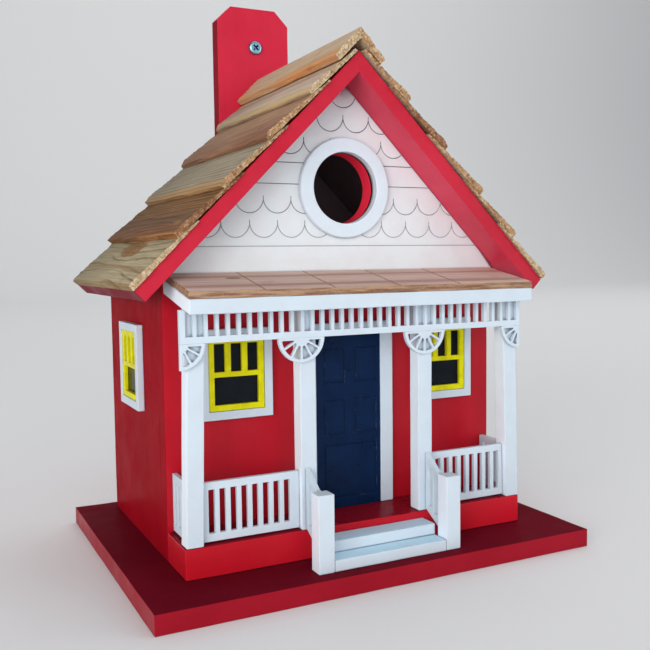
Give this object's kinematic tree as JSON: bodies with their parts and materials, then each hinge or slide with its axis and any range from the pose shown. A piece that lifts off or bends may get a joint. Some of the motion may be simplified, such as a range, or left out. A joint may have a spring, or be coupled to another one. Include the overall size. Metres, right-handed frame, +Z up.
{
  "type": "birdhouse",
  "caption": "Painted wooden cottage birdhouse with a shingled gable roof, a railed front porch, a round entrance hole, a hanging board and a clean-out door in the back wall.",
  "frame": {"origin": "centre of the underside of the base board", "axes": "+X is the house's right seen from the front, +Y points to the back, +Z is up"},
  "size_m": [0.241, 0.2075, 0.317],
  "materials": {
    "red_paint": "satin paint",
    "white_paint": "satin paint",
    "yellow_paint": "satin paint",
    "navy_paint": "satin paint",
    "black_paint": "gloss paint",
    "raw_cedar": "unfinished split cedar",
    "stained_slab": "weathered unfinished cedar",
    "zinc": "zinc plated",
    "steel": "plain steel"
  },
  "bodies": {
    "house": {"base_board": "red_paint", "porch_deck": "red_paint", "left_wall": "red_paint", "right_wall": "red_paint", "front_wall": "red_paint", "back_wall": "red_paint", "gable_panel": "white_paint", "entrance_ring": "white_paint", "roof_panel_left": "red_paint", "roof_panel_right": "red_paint", "shingle_left_1": "raw_cedar", "shingle_left_2": "raw_cedar", "shingle_left_3": "raw_cedar", "shingle_left_4": "raw_cedar", "shingle_left_5": "raw_cedar", "shingle_right_1": "raw_cedar", "shingle_right_2": "raw_cedar", "shingle_right_3": "raw_cedar", "shingle_right_4": "raw_cedar", "shingle_right_5": "raw_cedar", "ridge_cap_left": "raw_cedar", "ridge_cap_right": "raw_cedar", "porch_roof_board": "white_paint", "porch_roof_slab": "stained_slab", "frieze": "white_paint", "half_fans": "white_paint", "quarter_fans": "white_paint", "post_outer_left": "white_paint", "post_inner_left": "white_paint", "post_inner_right": "white_paint", "post_outer_right": "white_paint", "front_railing_left": "white_paint", "front_railing_right": "white_paint", "side_railing_left": "white_paint", "side_railing_right": "white_paint", "stair_rail_left": "white_paint", "stair_rail_right": "white_paint", "newel_left": "white_paint", "newel_right": "white_paint", "lower_step": "white_paint", "upper_step": "white_paint", "front_door": "navy_paint", "door_casing": "white_paint", "casing_front_left": "white_paint", "casing_front_right": "white_paint", "casing_side_left": "white_paint", "casing_side_right": "white_paint", "sash_front_left": "yellow_paint", "sash_front_right": "yellow_paint", "sash_side_left": "yellow_paint", "sash_side_right": "yellow_paint", "window_panes": "black_paint", "mounting_board": "red_paint", "mounting_screw": "zinc", "board_screws": "steel", "pivot_pins": "steel", "turn_button_screw": "steel", "door_stop": "red_paint"},
    "cleanout_door": {"cleanout_door": "red_paint"},
    "turn_button": {"turn_button": "red_paint"}
  },
  "joints": [
    {"name": "cleanout_hinge", "type": "hinge", "parent": "house", "child": "cleanout_door", "pos_m": [0, 0.0751, 0.095], "axis": [1, 0, 0], "range_deg": [0, 85]},
    {"name": "button_turn", "type": "hinge", "parent": "house", "child": "turn_button", "pos_m": [-0.09245, 0.0823, 0.046], "axis": [0, -1, 0], "range_deg": [0, 90]}
  ]
}
